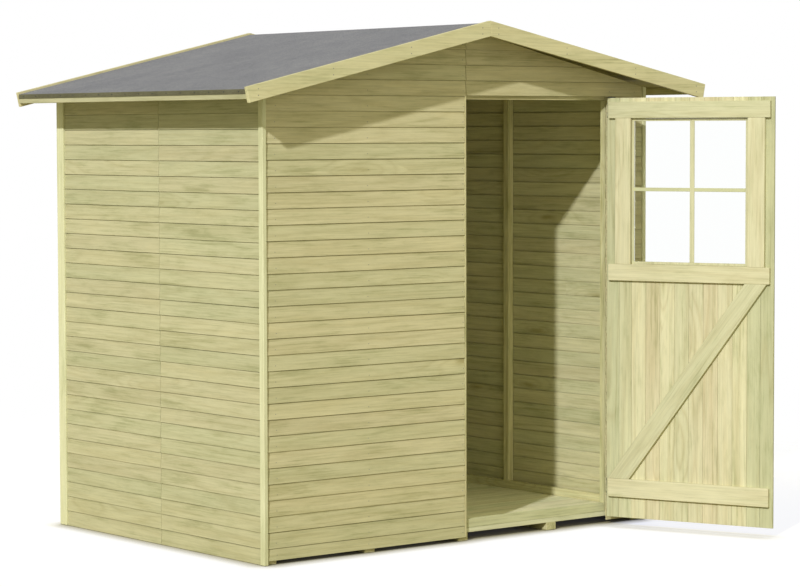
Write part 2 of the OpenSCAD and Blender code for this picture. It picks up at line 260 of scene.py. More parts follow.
# how much each layer counts, and its tones
layerTones = {
    "fibre": (0.5, [(0.32, (0.80, 0.78, 0.72)), (0.52, (1, 1, 1)), (0.75, (1.08, 1.08, 1.07))]),
    "streak": (0.9, [(0.30, (0.80, 0.80, 0.74)), (0.50, (1, 1, 1)), (0.70, (1.07, 1.07, 1.08))]),
    "broad": (0.6, [(0.30, (0.90, 0.90, 0.86)), (0.50, (1, 1, 1)), (0.72, (1.05, 1.05, 1.05))]),
    "cloud": (1.0, [
        (0.30, (0.76, 0.78, 0.70)), (0.42, (0.95, 0.96, 0.93)), (0.50, (1, 1, 1)), (0.72, (1.06, 1.045, 1.03)),
    ]),
    "blotch": (0.9, [(0.30, (0.88, 0.89, 0.84)), (0.47, (1, 1, 1)), (0.75, (1.05, 1.05, 1.06))]),
}
# a knot's halo and its heart: from, to, share and colour
knotRings = ((0.14, 0.42, 0.6, (0.88, 0.86, 0.78, 1)), (0.12, 0.20, 0.8, (0.70, 0.66, 0.54, 1)))
# painted shade on faces that look down: where it starts, where it is full, its share and colour
paintedUnderShade = {"from": -0.45, "full": -0.85, "share": 0.8, "color": (0.45, 0.40, 0.22, 1)}
splash = {"upTo": 0.25, "color": (0.66, 0.66, 0.50, 1)}
# tones over the boards of a wall, and over those of the door
calmTones = [
    (0.0, (0.93, 0.95, 0.92)), (0.25, (0.98, 1.0, 0.98)), (0.5, (1.01, 1.0, 0.97)),
    (0.75, (1.05, 1.045, 1.04)), (1.0, (0.96, 0.945, 0.93)),
]
doorTones = [
    (0.0, (0.76, 0.80, 0.73)), (0.25, (0.93, 0.97, 0.92)), (0.5, (0.99, 0.98, 0.97)),
    (0.75, (1.06, 1.06, 1.03)), (1.0, (1.0, 0.95, 0.94)),
]


def woodMaterial(
    name, turn, pale, dark, figure=0.45, knots=0.3, rough=0.68, grime=0.0, tones=calmTones, strong=1.0, fine=1.0
):
    # sawn, treated softwood: growth figure, fine fibres, knots, and a change of tone from board to board
    material, tree, shader, coords = startMaterial(name)
    lay = addNode(tree, "ShaderNodeMapping")
    lay.inputs["Rotation"].default_value = turn
    link(tree, coords, lay.inputs["Vector"])
    tone = addNode(tree, "ShaderNodeAttribute", attribute_name="boardTone").outputs["Fac"]
    shift = addNode(tree, "ShaderNodeVectorMath", operation="SCALE")
    shift.inputs[0].default_value = grain["boardShift"]
    link(tree, tone, shift.inputs["Scale"])
    own = addNode(tree, "ShaderNodeVectorMath", operation="ADD")
    link(tree, lay.outputs[0], own.inputs[0])
    link(tree, shift.outputs[0], own.inputs[1])

    def stretched(x, y):
        made = addNode(tree, "ShaderNodeMapping")
        made.inputs["Scale"].default_value = (x, y, y)
        link(tree, own.outputs[0], made.inputs["Vector"])
        return made.outputs[0]

    def sheet(x, y, detail, roughness, distortion=0.0):
        made = addNode(
            tree, "ShaderNodeTexNoise", Scale=1.0, Detail=detail, Roughness=roughness, Distortion=distortion
        )
        link(tree, stretched(x, y), made.inputs["Vector"])
        return made.outputs["Fac"]

    # knots sit in a few cells of a stretched pattern, and the rings of the log bend round them
    spots = addNode(tree, "ShaderNodeTexVoronoi", feature="F1", Scale=1.0, Randomness=1.0)
    link(tree, stretched(*grain["knotCells"]), spots.inputs["Vector"])
    chance = addNode(tree, "ShaderNodeSeparateColor")
    link(tree, spots.outputs["Color"], chance.inputs[0])
    chosen = maths(tree, "GREATER_THAN", chance.outputs[0], 1 - knots * 0.6)
    swell = ranged(tree, spots.outputs["Distance"], 0.0, 0.55, 0.34, 0.0, smooth=True)
    log = maths(tree, "ADD", sheet(*grain["log"]), maths(tree, "MULTIPLY", swell, chosen))
    rings = maths(tree, "PINGPONG", maths(tree, "MULTIPLY", log, grain["rings"]), 1.0)
    layers = {layer: sheet(*grain[layer]) for layer in layerTones}
    # the cloudy patches get ragged ends from the streaks
    ragged = maths(tree, "MULTIPLY", maths(tree, "SUBTRACT", layers["streak"], 0.5), 0.4)
    layers["cloud"] = maths(tree, "ADD", layers["cloud"], ragged)
    between = [(2 * p + d) / 3 for p, d in zip(pale, dark)]
    base = toned(tree, rings, [(0.0, dark), (0.35, between), (0.7, pale), (1.0, pale)])
    base = mixColor(tree, "MIX", figure, (*pale, 1), base)
    for layer, value in layers.items():
        share, stops = layerTones[layer]
        if layer in ("fibre", "streak"):
            share *= fine
        base = mixColor(tree, "MULTIPLY", share * strong, base, toned(tree, value, stops))
    base = mixColor(tree, "MULTIPLY", 1.0, base, toned(tree, tone, tones))
    away = maths(tree, "ADD", spots.outputs["Distance"], maths(tree, "MULTIPLY", layers["blotch"], 0.16))
    for near, far, share, color in knotRings:
        disc = ranged(tree, away, near, far, share, 0.0)
        base = mixColor(tree, "MULTIPLY", maths(tree, "MULTIPLY", disc, chosen), base, color)
    # faces that look down get painted shade, darker as if shadowed from above
    facing = addNode(tree, "ShaderNodeNewGeometry")
    down = addNode(tree, "ShaderNodeSeparateXYZ")
    link(tree, facing.outputs["True Normal"], down.inputs[0])
    under = ranged(tree, down.outputs["Z"], paintedUnderShade["from"], paintedUnderShade["full"], 0.0, paintedUnderShade["share"])
    base = mixColor(tree, "MULTIPLY", under, base, paintedUnderShade["color"])
    if grime:
        # splashes near the ground
        height = addNode(tree, "ShaderNodeSeparateXYZ")
        link(tree, coords, height.inputs[0])
        low = ranged(tree, height.outputs["Z"], 0.0, splash["upTo"], grime, 0.0)
        base = mixColor(tree, "MULTIPLY", maths(tree, "MULTIPLY", low, layers["cloud"]), base, splash["color"])
    link(tree, base, shader.inputs["Base Color"])
    link(tree, ranged(tree, layers["fibre"], 0.0, 1.0, rough - 0.08, rough + 0.12), shader.inputs["Roughness"])
    shader.inputs["Specular IOR Level"].default_value = 0.25
    hair = maths(tree, "ADD", layers["fibre"], maths(tree, "MULTIPLY", layers["streak"], 0.6))
    relief = maths(tree, "ADD", maths(tree, "MULTIPLY", rings, 0.3), hair)
    bumped(tree, shader, relief, grain["bump"], grain["bumpHeight"])
    return material


def feltMaterial(name, low, mid, high):
    # mineral felt: a dark sheet under fine pale grit, with faded patches
    material, tree, shader, coords = startMaterial(name)
    grit = addNode(tree, "ShaderNodeTexVoronoi", feature="F1", Scale=420.0)
    speck = addNode(tree, "ShaderNodeTexNoise", Scale=210.0, Detail=4.0, Roughness=0.75)
    patch = addNode(tree, "ShaderNodeTexNoise", Scale=4.0, Detail=6.0, Roughness=0.68)
    smear = addNode(tree, "ShaderNodeTexNoise", Scale=38.0, Detail=4.0, Roughness=0.7)
    for made in (grit, speck, patch, smear):
        link(tree, coords, made.inputs["Vector"])
    color = toned(tree, patch.outputs["Fac"], [(0.30, low), (0.5, mid), (0.72, high)])
    for made, stops in (
        (smear, [(0.3, (0.86, 0.86, 0.88)), (0.52, (1, 1, 1)), (0.75, (1.14, 1.13, 1.10))]),
        (speck, [(0.32, (0.55, 0.55, 0.58)), (0.5, (1, 1, 1)), (0.70, (1.5, 1.48, 1.42))]),
    ):
        color = mixColor(tree, "MULTIPLY", 0.8, color, toned(tree, made.outputs["Fac"], stops))
    link(tree, color, shader.inputs["Base Color"])
    shader.inputs["Roughness"].default_value = 0.9
    shader.inputs["Specular IOR Level"].default_value = 0.2
    bumped(tree, shader, grit.outputs["Distance"], 0.5, 0.0008)
    return material


def metalMaterial(name, color, metallic, rough):
    # mottled iron or zinc
    material, tree, shader, coords = startMaterial(name)
    mottle = addNode(tree, "ShaderNodeTexNoise", Scale=140.0, Detail=5.0, Roughness=0.6)
    link(tree, coords, mottle.inputs["Vector"])
    worn, bright = [c * 0.75 for c in color], [min(1, c * 1.4) for c in color]
    tint = toned(tree, mottle.outputs["Fac"], [(0.3, worn), (0.6, color), (0.85, bright)])
    link(tree, tint, shader.inputs["Base Color"])
    shader.inputs["Metallic"].default_value = metallic
    sheen = ranged(tree, mottle.outputs["Fac"], 0.0, 1.0, rough - 0.1, rough + 0.15)
    link(tree, sheen, shader.inputs["Roughness"])
    bumped(tree, shader, mottle.outputs["Fac"], 0.2, 0.0004)
    return material


def glassMaterial():
    # a thin clear pane with a film of dust, which lets lamp light through
    material, tree, shader, coords = startMaterial("paneGlass")
    shader.inputs["Base Color"].default_value = (0.985, 0.995, 0.99, 1)
    shader.inputs["Transmission Weight"].default_value = 1.0
    shader.inputs["IOR"].default_value = 1.12
    dust = addNode(tree, "ShaderNodeTexNoise", Scale=9.0, Detail=4.0)
    link(tree, coords, dust.inputs["Vector"])
    link(tree, ranged(tree, dust.outputs["Fac"], 0.4, 0.8, 0.0, 0.03), shader.inputs["Roughness"])
    through = addNode(tree, "ShaderNodeBsdfTransparent", Color=(0.96, 0.98, 0.97, 1))
    path = addNode(tree, "ShaderNodeLightPath")
    pane = mixShader(tree, path.outputs["Is Shadow Ray"], shader.outputs[0], through.outputs[0])
    link(tree, pane, tree.nodes["Material Output"].inputs["Surface"])
    return material


# each wood's pale and dark colour
side = ((0.615, 0.590, 0.380), (0.500, 0.465, 0.270))
# the front boards are the side boards' wood painted paler: painted light that makes up for the weaker sun on the
# front
front = ((0.690, 0.645, 0.410), (0.560, 0.510, 0.290))
leaf = ((0.725, 0.695, 0.475), (0.600, 0.550, 0.340))
trim = ((0.860, 0.840, 0.580), (0.770, 0.735, 0.480))
barge = ((0.760, 0.710, 0.450), (0.650, 0.595, 0.350))
fascia = ((0.585, 0.570, 0.375), (0.500, 0.470, 0.290))
framing = ((0.655, 0.620, 0.375), (0.535, 0.480, 0.255))
# the deck is painted paler than the walls' wood: painted light that brightens the dim floor inside
deck = ((0.830, 0.820, 0.600), (0.710, 0.680, 0.460))
sill = ((0.680, 0.680, 0.440), (0.580, 0.560, 0.340))

# the door stands open at rest, so its level timbers are turned with it
hinge = frame["joints"][0]
openTurn = math.radians(-hinge["range_deg"][0])
hingePin = Vector(hinge["pos_m"])
doorOpen = Matrix.Translation(hingePin) @ Matrix.Rotation(openTurn, 4, "Z") @ Matrix.Translation(-hingePin)
doorShut = doorOpen.inverted()
acrossDoor = (0, 0, -openTurn)

finishes = {
    "wallX": woodMaterial("lapBoardX", grainAlong["x"], *front, knots=0.4, grime=0.3, strong=0.8, fine=0.85),
    "wallY": woodMaterial("lapBoardY", grainAlong["y"], *side, knots=0.35, grime=0.3, strong=0.85, fine=0.75),
    "bargeX": woodMaterial("bargeX", grainAlong["x"], *barge, knots=0.25, strong=0.7),
    "bargeY": woodMaterial("fasciaY", grainAlong["y"], *fascia, knots=0.2, strong=0.7),
    "trimZ": woodMaterial("trimZ", grainAlong["z"], *trim, figure=0.4, knots=0.1, grime=0.3, strong=0.5),
    "frameX": woodMaterial("frameX", grainAlong["x"], *framing, figure=0.6, knots=0.4, rough=0.78),
    "frameY": woodMaterial("frameY", grainAlong["y"], *framing, figure=0.6, knots=0.4, rough=0.78),
    "frameZ": woodMaterial("frameZ", grainAlong["z"], *framing, figure=0.6, rough=0.78),
    "sillX": woodMaterial("sillX", grainAlong["x"], *sill, figure=0.5, rough=0.78, strong=0.7),
    "deckX": woodMaterial("deckX", grainAlong["x"], *deck, figure=0.5, knots=0.4, rough=0.78, strong=0.8),
    "doorX": woodMaterial("doorAcross", acrossDoor, *leaf, strong=0.6),
    "barX": woodMaterial("barAcross", acrossDoor, *sill, figure=0.3, knots=0.0, strong=0.4),
    "doorZ": woodMaterial(
        "doorUpright", grainAlong["z"], *leaf, figure=0.7, knots=0.35, tones=doorTones, strong=0.95, fine=0.6
    ),
    "stileZ": woodMaterial("stileUpright", grainAlong["z"], *leaf, knots=0.2, strong=0.6),
    "felt": feltMaterial("mineralFelt", (0.222, 0.228, 0.274), (0.256, 0.262, 0.310), (0.288, 0.293, 0.342)),
    "feltEdge": feltMaterial("feltEdge", (0.115, 0.110, 0.066), (0.145, 0.138, 0.086), (0.175, 0.168, 0.108)),
    "hinge": metalMaterial("blackIron", (0.035, 0.035, 0.037), 0.6, 0.5),
    "nail": metalMaterial("zincNail", (0.30, 0.29, 0.25), 0.6, 0.55),
    "glass": glassMaterial(),
}
print("materials made:", len(finishes))


# helpers for pieces
def finishPiece(mesh, name, finish, body, slot, *replaced):
    # writes a bmesh out as a piece that rides on a body and stands for CAD nodes
    data = bpy.data.meshes.new(name)
    mesh.to_mesh(data)
    mesh.free()
    made = bpy.data.objects.new(name, data)
    scene.collection.objects.link(made)
    for one in finish if isinstance(finish, tuple) else (finish,):
        data.materials.append(finishes[one])
    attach(made, body)
    if replaced:
        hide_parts(*replaced)
    return made


def startPiece(source=None):
    # an empty bmesh, or a merged copy of a CAD node, with a tone kept at each vertex
    mesh = bmesh.new()
    if source:
        mesh.from_mesh(nodes[source].data)
        bmesh.ops.remove_doubles(mesh, verts=mesh.verts[:], dist=1e-5)
    mesh.verts.layers.float.new("boardTone")
    return mesh


def setTone(mesh, verts, value):
    layer = mesh.verts.layers.float["boardTone"]
    for vert in verts:
        vert[layer] = value


def setFinish(verts, index):
    for face in {face for vert in verts for face in vert.link_faces}:
        face.material_index = index


def easeEdges(mesh, edges, ease):
    bmesh.ops.bevel(
        mesh, geom=edges, offset=ease, offset_type="OFFSET", segments=2, profile=0.5, affect="EDGES", material=-1
    )


def boardInto(mesh, low, high, ease, cuts=0, tone=None):
    # a board between two corners with eased edges, added to a bmesh; gives back its vertices
    size = [h - l for l, h in zip(low, high)]
    middle = [(l + h) / 2 for l, h in zip(low, high)]
    verts = bmesh.ops.create_cube(mesh, size=1.0)["verts"]
    bmesh.ops.scale(mesh, vec=size, verts=verts)
    bmesh.ops.translate(mesh, vec=middle, verts=verts)
    easeEdges(mesh, list({edge for vert in verts for edge in vert.link_edges}), ease)
    layer = mesh.verts.layers.float["boardTone"]
    if cuts:
        axis = max(range(3), key=lambda i: size[i])
        fresh = [vert for vert in mesh.verts if vert[layer] == 0]
        long = [
            edge for edge in {edge for vert in fresh for edge in vert.link_edges}
            if abs(edge.verts[0].co[axis] - edge.verts[1].co[axis]) > size[axis] * 0.5
        ]
        bmesh.ops.subdivide_edges(mesh, edges=long, cuts=cuts)
    fresh = [vert for vert in mesh.verts if vert[layer] == 0]
    setTone(mesh, fresh, draw.uniform(0.02, 1) if tone is None else tone)
    return fresh


def islandsOf(mesh):
    # the separate solids in a bmesh, always in the order of their first vertices
    left = set(mesh.verts)
    for first in mesh.verts:
        if first not in left:
            continue
        left.remove(first)
        stack, found = [first], []
        while stack:
            vert = stack.pop()
            found.append(vert)
            for edge in vert.link_edges:
                other = edge.other_vert(vert)
                if other in left:
                    left.remove(other)
                    stack.append(other)
        yield found


def easedCopy(nodeName, finish, slot, body="shed", ease=0.0016, tones=None):
    # the CAD node with its edges eased, one tone for each timber in it, from the lowest up if they are given
    mesh = startPiece(nodeName)
    bmesh.ops.dissolve_limit(mesh, angle_limit=math.radians(1), verts=mesh.verts[:], edges=mesh.edges[:])
    easeEdges(mesh, mesh.edges[:], ease)
    found = list(islandsOf(mesh))
    if tones:
        found.sort(key=lambda timber: min(vert.co.z for vert in timber))
    for index, timber in enumerate(found):
        setTone(mesh, timber, tones[index] if tones else draw.random())
    return finishPiece(mesh, nodeName + "_eased", finish, body, slot, nodeName)


def nailInto(mesh, at, normal, radius, rise, finishIndex=0):
    # a flat nail head on a face
    made = bmesh.ops.create_cone(
        mesh, cap_ends=True, segments=8, radius1=radius, radius2=radius * 0.8, depth=rise
    )["verts"]
    turn = Vector(normal).to_track_quat("Z", "Y").to_matrix().to_4x4()
    seat = Matrix.Translation(Vector(at) + Vector(normal) * rise * 0.4)
    bmesh.ops.transform(mesh, matrix=seat @ turn, verts=made)
    setTone(mesh, made, 0.5)
    setFinish(made, finishIndex)


# lapped boards: each leans back over the one below, with a rebate under it and a groove inside
lap = {
    "thick": 0.0050, "height": 0.071, "lean": 0.0045, "waver": 0.0009, "endGap": 0.0012, "ease": 0.0007,
    "cuts": 11, "crack": (0.0009, 0.0022), "deep": 0.0034, "flank": 0.0004, "shortest": 0.012, "rebated": 0.03,
    "inside": {"wide": 0.0030, "flank": 0.0003, "deep": 0.0028},
}
frontCourses = {"first": 0.061, "pitch": 0.0613}
sideCourses = {"first": 0.0616, "pitch": 0.0610}
edging = {"wide": 0.0075, "deep": 0.0095, "ease": 0.0008, "tone": 0.7, "clear": (0.0005, 0.001, 0.002)}
wallNails = {"up": 0.020, "room": 0.03, "stray": 0.006, "radius": 0.0018, "rise": 0.0006}

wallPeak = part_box("front_wall_left")[1].z
wallReach = abs(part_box("left_wall_front")[1].x)
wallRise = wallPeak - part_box("left_wall_front")[1].z
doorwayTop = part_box("front_gable")[0].z
# walls that are cut to the slope of the roof: -1 for the left slope and 1 for the right
slopeCut = {"front_wall_left": (-1, 1), "front_gable": (1,), "rear_wall_left": (-1,), "rear_wall_right": (1,)}


def topAt(nodeName, at):
    # height of a wall's top at a place along it
    if nodeName in slopeCut:
        return wallPeak - wallRise * abs(at) / wallReach
    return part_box(nodeName)[1].z


def cutAbove(mesh, point, normal):
    # takes away what lies above a plane, and closes the cut
    geom = mesh.verts[:] + mesh.edges[:] + mesh.faces[:]
    made = bmesh.ops.bisect_plane(mesh, geom=geom, dist=1e-6, plane_co=point, plane_no=normal, clear_outer=True)
    edges = [one for one in made["geom_cut"] if isinstance(one, bmesh.types.BMEdge)]
    bmesh.ops.holes_fill(mesh, edges=edges, sides=0)


def rebateBoard(mesh, verts, shown, lapOver):
    # a rebate under the board above leaves a shadow line, and a groove inside shows the top of the board below
    inside = lap["inside"]
    rebate = shown - draw.uniform(*lap["crack"])
    grooveTop = lapOver + inside["wide"]
    geom = verts + list({e for v in verts for e in v.link_edges}) + list({f for v in verts for f in v.link_faces})
    for level in (
        rebate, rebate + lap["flank"], lapOver, lapOver + inside["flank"], grooveTop, grooveTop + inside["flank"]
    ):
        cut = bmesh.ops.bisect_plane(mesh, geom=geom, dist=1e-6, plane_co=(0, 0, level), plane_no=(0, 0, 1))
        geom = cut["geom"]
    verts = [one for one in geom if isinstance(one, bmesh.types.BMVert)]
    for vert in verts:
        if vert.co.z > rebate + lap["flank"] / 2 and vert.co.y < 0:
            vert.co.y += lap["deep"]
        elif lapOver + inside["flank"] / 2 < vert.co.z < grooveTop + inside["flank"] / 2 and vert.co.y > 0:
            vert.co.y -= inside["deep"]
    return verts


def lapWall(nodeName, along, outward, courses, studs):
    # along is 0 for a wall that runs in X and 1 for one in Y; outward is -1 or 1
    low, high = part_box(nodeName)
    mesh = startPiece()
    across = 1 - along
    face = high[across] if outward > 0 else low[across]
    start, end = low[along], high[along]
    pitch = courses["pitch"]
    bottoms = [low.z]
    level = courses["first"]
    while level < high.z - 0.004:
        if level > low.z + lap["shortest"]:
            bottoms.append(level)
        level += pitch
    seed = draw.random() * 90
    lean = lap["lean"] / pitch
    for index, bottom in enumerate(bottoms):
        nextUp = bottoms[index + 1] if index + 1 < len(bottoms) else bottom + pitch
        shown = min(nextUp - bottom, pitch)
        # beside the doorway the boards stop at an edging strip
        edged = nodeName == "front_wall_left" and nextUp < doorwayTop + 0.01
        stop = end - (edging["wide"] if edged else 0)
        half = (stop - start - 2 * lap["endGap"]) / 2
        top = shown + lap["height"] - pitch
        corners = (-half, -lap["thick"] / 2, 0), (half, lap["thick"] / 2, top)
        verts = boardInto(mesh, *corners, lap["ease"], lap["cuts"])
        if shown > lap["rebated"]:
            verts = rebateBoard(mesh, verts, shown, lap["height"] - pitch)
        for vert in verts:
            # leans back and wavers a little along its length
            x, y, z = vert.co
            wave = lap["waver"] * noise.noise(Vector((x * 1.7 + seed, index * 3.7, 0)))
            bow = lap["waver"] * noise.noise(Vector((x * 2.3, index * 5.1 + seed, 9)))
            inward = lap["thick"] / 2 + y + z * lean + bow * 0.6
            corner = [0, 0, bottom + z + wave * (1 if index else 0.2)]
            corner[along] = (start + stop) / 2 + x
            corner[across] = face - outward * inward
            vert.co = corner
    if nodeName in slopeCut:
        for slope in slopeCut[nodeName]:
            cutAbove(mesh, (0, 0, wallPeak), Vector((slope * wallRise, 0, wallReach)).normalized())
    else:
        cutAbove(mesh, (0, 0, high.z), (0, 0, 1))
    if nodeName == "front_wall_left":
        besideGap, footGap, headGap = edging["clear"]
        near = (end - edging["wide"], face, low.z + footGap)
        far = (end - besideGap, face + edging["deep"], doorwayTop - headGap)
        setFinish(boardInto(mesh, near, far, edging["ease"], 0, edging["tone"]), 2)
    bmesh.ops.recalc_face_normals(mesh, faces=mesh.faces[:])
    # a nail through each board into each stud
    for stud in studs:
        for bottom in bottoms:
            if bottom + wallNails["room"] > topAt(nodeName, stud):
                continue
            at = [0, 0, bottom + wallNails["up"]]
            at[along] = stud + (draw.random() - 0.5) * wallNails["stray"]
            at[across] = face - outward * wallNails["up"] * lean
            normal = [0, 0, 0]
            normal[across] = outward
            nailInto(mesh, at, normal, wallNails["radius"], wallNails["rise"], 1)
    finish = ("wallY" if along else "wallX", "nail", "frameZ")
    return finishPiece(mesh, nodeName + "_boards", finish, "shed", "boarding", nodeName)


def studCentres(nodeName, axis):
    # the middle of each timber in a node along an axis
    mesh = startPiece(nodeName)
    centres = [sum(vert.co[axis] for vert in found) / len(found) for found in islandsOf(mesh)]
    mesh.free()
    return sorted(centres)


frontStuds, rearStuds = studCentres("front_studs", 0), studCentres("rear_studs", 0)
leftStuds, rightStuds = studCentres("left_studs", 1), studCentres("right_studs", 1)
walls = {
    "front_wall_left": (0, -1, frontCourses, frontStuds),
    "front_wall_right": (0, -1, frontCourses, frontStuds),
    "front_gable": (0, -1, frontCourses, frontStuds),
    "rear_wall_left": (0, 1, frontCourses, rearStuds),
    "rear_wall_right": (0, 1, frontCourses, rearStuds),
    "left_wall_front": (1, -1, sideCourses, leftStuds),
    "left_wall_rear": (1, -1, sideCourses, leftStuds),
    "right_wall_front": (1, 1, sideCourses, rightStuds),
    "right_wall_rear": (1, 1, sideCourses, rightStuds),
}
for nodeName, (along, outward, courses, studs) in walls.items():
    low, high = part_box(nodeName)
    covered = [stud for stud in studs if low[along] + 0.006 < stud < high[along] - 0.006]
    lapWall(nodeName, along, outward, courses, covered)
print("lapped walls made")

# plain timbers
timbers = {
    "bearers": "frameY", "front_studs": "frameZ", "front_rails": "frameX", "threshold": "sillX",
    "door_head": "frameX", "left_studs": "frameZ", "left_rails": "frameY", "right_studs": "frameZ",
    "right_rails": "frameY", "rear_studs": "frameZ", "rear_rails": "frameX", "ridge_beam": "frameY",
    "eaves_battens": "frameY", "trim_front_left": "trimZ", "trim_front_right": "trimZ",
    "trim_rear_left": "trimZ", "trim_rear_right": "trimZ", "fascia_left": "bargeY", "fascia_right": "bargeY",
    "barge_front_left": "bargeX", "barge_front_right": "bargeX",
    "barge_rear_left": "bargeX", "barge_rear_right": "bargeX",
}
for nodeName, finish in timbers.items():
    easedCopy(nodeName, finish, "trim" if finish in ("trimZ", "bargeX", "bargeY") else "frame_timber")

bargeNails = {"along": (0.035, 0.34, 0.66, 0.955), "down": (0.020, 0.044), "radius": 0.0022, "rise": 0.0007}
bargeHeight = 0.060
mesh = startPiece()
for nodeName in ("barge_front_left", "barge_front_right", "barge_rear_left", "barge_rear_right"):
    low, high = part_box(nodeName)
    slope = -1 if "left" in nodeName else 1
    outward = -1 if "front" in nodeName else 1
    face = low.y if outward < 0 else high.y
    fall = (high.z - low.z - bargeHeight) / (high.x - low.x)
    for share in bargeNails["along"]:
        x = slope * share * max(abs(low.x), abs(high.x))
        for down in bargeNails["down"]:
            at = (x, face, high.z - fall * abs(x) - down)
            nailInto(mesh, at, (0, outward, 0), bargeNails["radius"], bargeNails["rise"])
finishPiece(mesh, "barge_nails", "nail", "shed", "hinge_metal")
print("plain timbers made")

# floor boards lie side by side from front to rear
floorBoards = {"count": 15, "gap": 0.0018, "ease": 0.0012}
low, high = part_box("floor_deck")
step = (high.y - low.y) / floorBoards["count"]
mesh = startPiece()
for index in range(floorBoards["count"]):
    near = low.y + index * step + floorBoards["gap"] / 2
    far = low.y + (index + 1) * step - floorBoards["gap"] / 2
    boardInto(mesh, (low.x, near, low.z), (high.x, far, high.z), floorBoards["ease"])
finishPiece(mesh, "floor_boards", "deckX", "shed", "floor_board", "floor_deck")

# roof boards lie on the slope, and run from front to rear
roofBoards = {"count": 12, "gap": 0.0016, "ease": 0.0012, "fromRidge": 0.0002}
for sideName, slope in (("left", -1), ("right", 1)):
    nodeName = "roof_" + sideName
    low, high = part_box(nodeName)
    reach = max(abs(low.x), abs(high.x))
    points = [vert.co for vert in nodes[nodeName].data.vertices]
    peakTop = max(co.z for co in points if abs(co.x) < 1e-4)
    edge = [co.z for co in points if abs(abs(co.x) - reach) < 1e-4]
    fall = math.atan2(peakTop - max(edge), reach)
    thick = (max(edge) - min(edge)) * math.cos(fall)
    run = math.hypot(reach, peakTop - max(edge))
    mesh = startPiece()
    for index in range(roofBoards["count"]):
        near = run * index / roofBoards["count"] + roofBoards["gap"] / 2
        far = run * (index + 1) / roofBoards["count"] - roofBoards["gap"] / 2
        boardInto(mesh, (near, low.y, -thick), (far, high.y, 0), roofBoards["ease"])
    bmesh.ops.rotate(mesh, cent=(0, 0, 0), matrix=Matrix.Rotation(fall, 3, "Y"), verts=mesh.verts[:])
    bmesh.ops.translate(mesh, vec=(0, 0, peakTop), verts=mesh.verts[:])
    cutAbove(mesh, (roofBoards["fromRidge"], 0, 0), (-1, 0, 0))
    if slope < 0:
        bmesh.ops.scale(mesh, vec=(-1, 1, 1), verts=mesh.verts[:])
    bmesh.ops.recalc_face_normals(mesh, faces=mesh.faces[:])
    finishPiece(mesh, "roof_boards_" + sideName, "frameY", "shed", "floor_board", nodeName)
print("floor and roof boards made")

# roofing felt: a sheet a side that folds down over the eave, nailed along its edge
felt = {
    "thick": 0.0028, "ripple": 0.0010, "across": 36, "along": 40, "foldRadius": 0.004, "foldSteps": 4,
    "sharpFrom": 0.7, "flatRidge": 0.02, "flatEave": 0.006, "cutEdge": 0.0035,
}
feltNails = {"every": 0.09, "ends": 0.04, "up": 0.009, "radius": 0.0028, "rise": 0.0009}
for sideName, slope in (("left", -1), ("right", 1)):
    nodeName = "felt_" + sideName
    low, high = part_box(nodeName)
    reach = max(abs(low.x), abs(high.x))
    points = [vert.co for vert in nodes[nodeName].data.vertices]
    peakZ = max(co.z for co in points)
    edgeZ = max(co.z for co in points if abs(abs(co.x) - reach) < 1e-4)
    profile = [
        (reach * i / felt["across"], peakZ + (edgeZ - peakZ) * i / felt["across"]) for i in range(felt["across"])
    ]
    fall = math.atan2(peakZ - edgeZ, reach)
    bend = felt["foldRadius"]
    for i in range(felt["foldSteps"] + 1):
        turn = fall + (math.pi / 2 - fall) * i / felt["foldSteps"]
        profile.append((reach - bend + bend * math.sin(turn), edgeZ - bend + bend * math.cos(turn)))
    profile.append((reach, low.z))
    mesh = startPiece()
    verts = [mesh.verts.new((x * slope, low.y, z)) for x, z in profile]
    edges = [mesh.edges.new(pair) for pair in zip(verts, verts[1:])]
    bmesh.ops.spin(
        mesh, geom=verts + edges, angle=0, dvec=(0, (high.y - low.y) / felt["along"], 0), steps=felt["along"],
        axis=(0, 0, 1), cent=(0, 0, 0), use_merge=False,
    )
    bmesh.ops.remove_doubles(mesh, verts=mesh.verts[:], dist=1e-6)
    for vert in mesh.verts:
        if felt["flatRidge"] < abs(vert.co.x) < reach - felt["flatEave"]:
            swell = noise.noise(Vector((vert.co.x * 3.1, vert.co.y * 2.3, slope * 4)))
            vert.co.z -= felt["ripple"] * (0.5 + 0.5 * swell)
    bmesh.ops.recalc_face_normals(mesh, faces=mesh.faces[:])
    if sum(face.normal.z for face in mesh.faces) < 0:
        bmesh.ops.reverse_faces(mesh, faces=mesh.faces[:])
    bmesh.ops.solidify(mesh, geom=mesh.faces[:], thickness=felt["thick"])
    for face in mesh.faces:
        face.smooth = True
        if abs(face.calc_center_median().x) > reach - felt["cutEdge"]:
            face.material_index = 1
    for edge in mesh.edges:
        edge.smooth = edge.calc_face_angle(0) < felt["sharpFrom"]
    setTone(mesh, mesh.verts[:], 0.5)
    count = int((high.y - low.y) / feltNails["every"])
    for i in range(count):
        y = low.y + feltNails["ends"] + i * (high.y - low.y - 2 * feltNails["ends"]) / (count - 1)
        at = (slope * reach, y, low.z + feltNails["up"])
        nailInto(mesh, at, (slope, 0, 0), feltNails["radius"], feltNails["rise"], 2)
    finishPiece(mesh, "felt_sheet_" + sideName, ("felt", "feltEdge", "hinge"), "shed", "roof_felt", nodeName)
print("felt laid")


# the door is drawn shut, and then hung where it stands
def shutBox(nodeName):
    # a door node's corners with the door shut
    axes = list(zip(*(doorShut @ vert.co for vert in nodes[nodeName].data.vertices)))
    return Vector([min(axis) for axis in axes]), Vector([max(axis) for axis in axes])


def hang(mesh):
    bmesh.ops.transform(mesh, matrix=doorOpen, verts=mesh.verts[:])
    return mesh


door = {
    "boardsMiddle": 8, "boardsSide": 2, "gap": 0.0007, "ease": 0.0009, "groove": 0.0022, "aroundHole": 0.0004,
    "timberEase": 0.002, "bead": 0.011, "beadEase": 0.0008, "braceWide": 0.096,
}
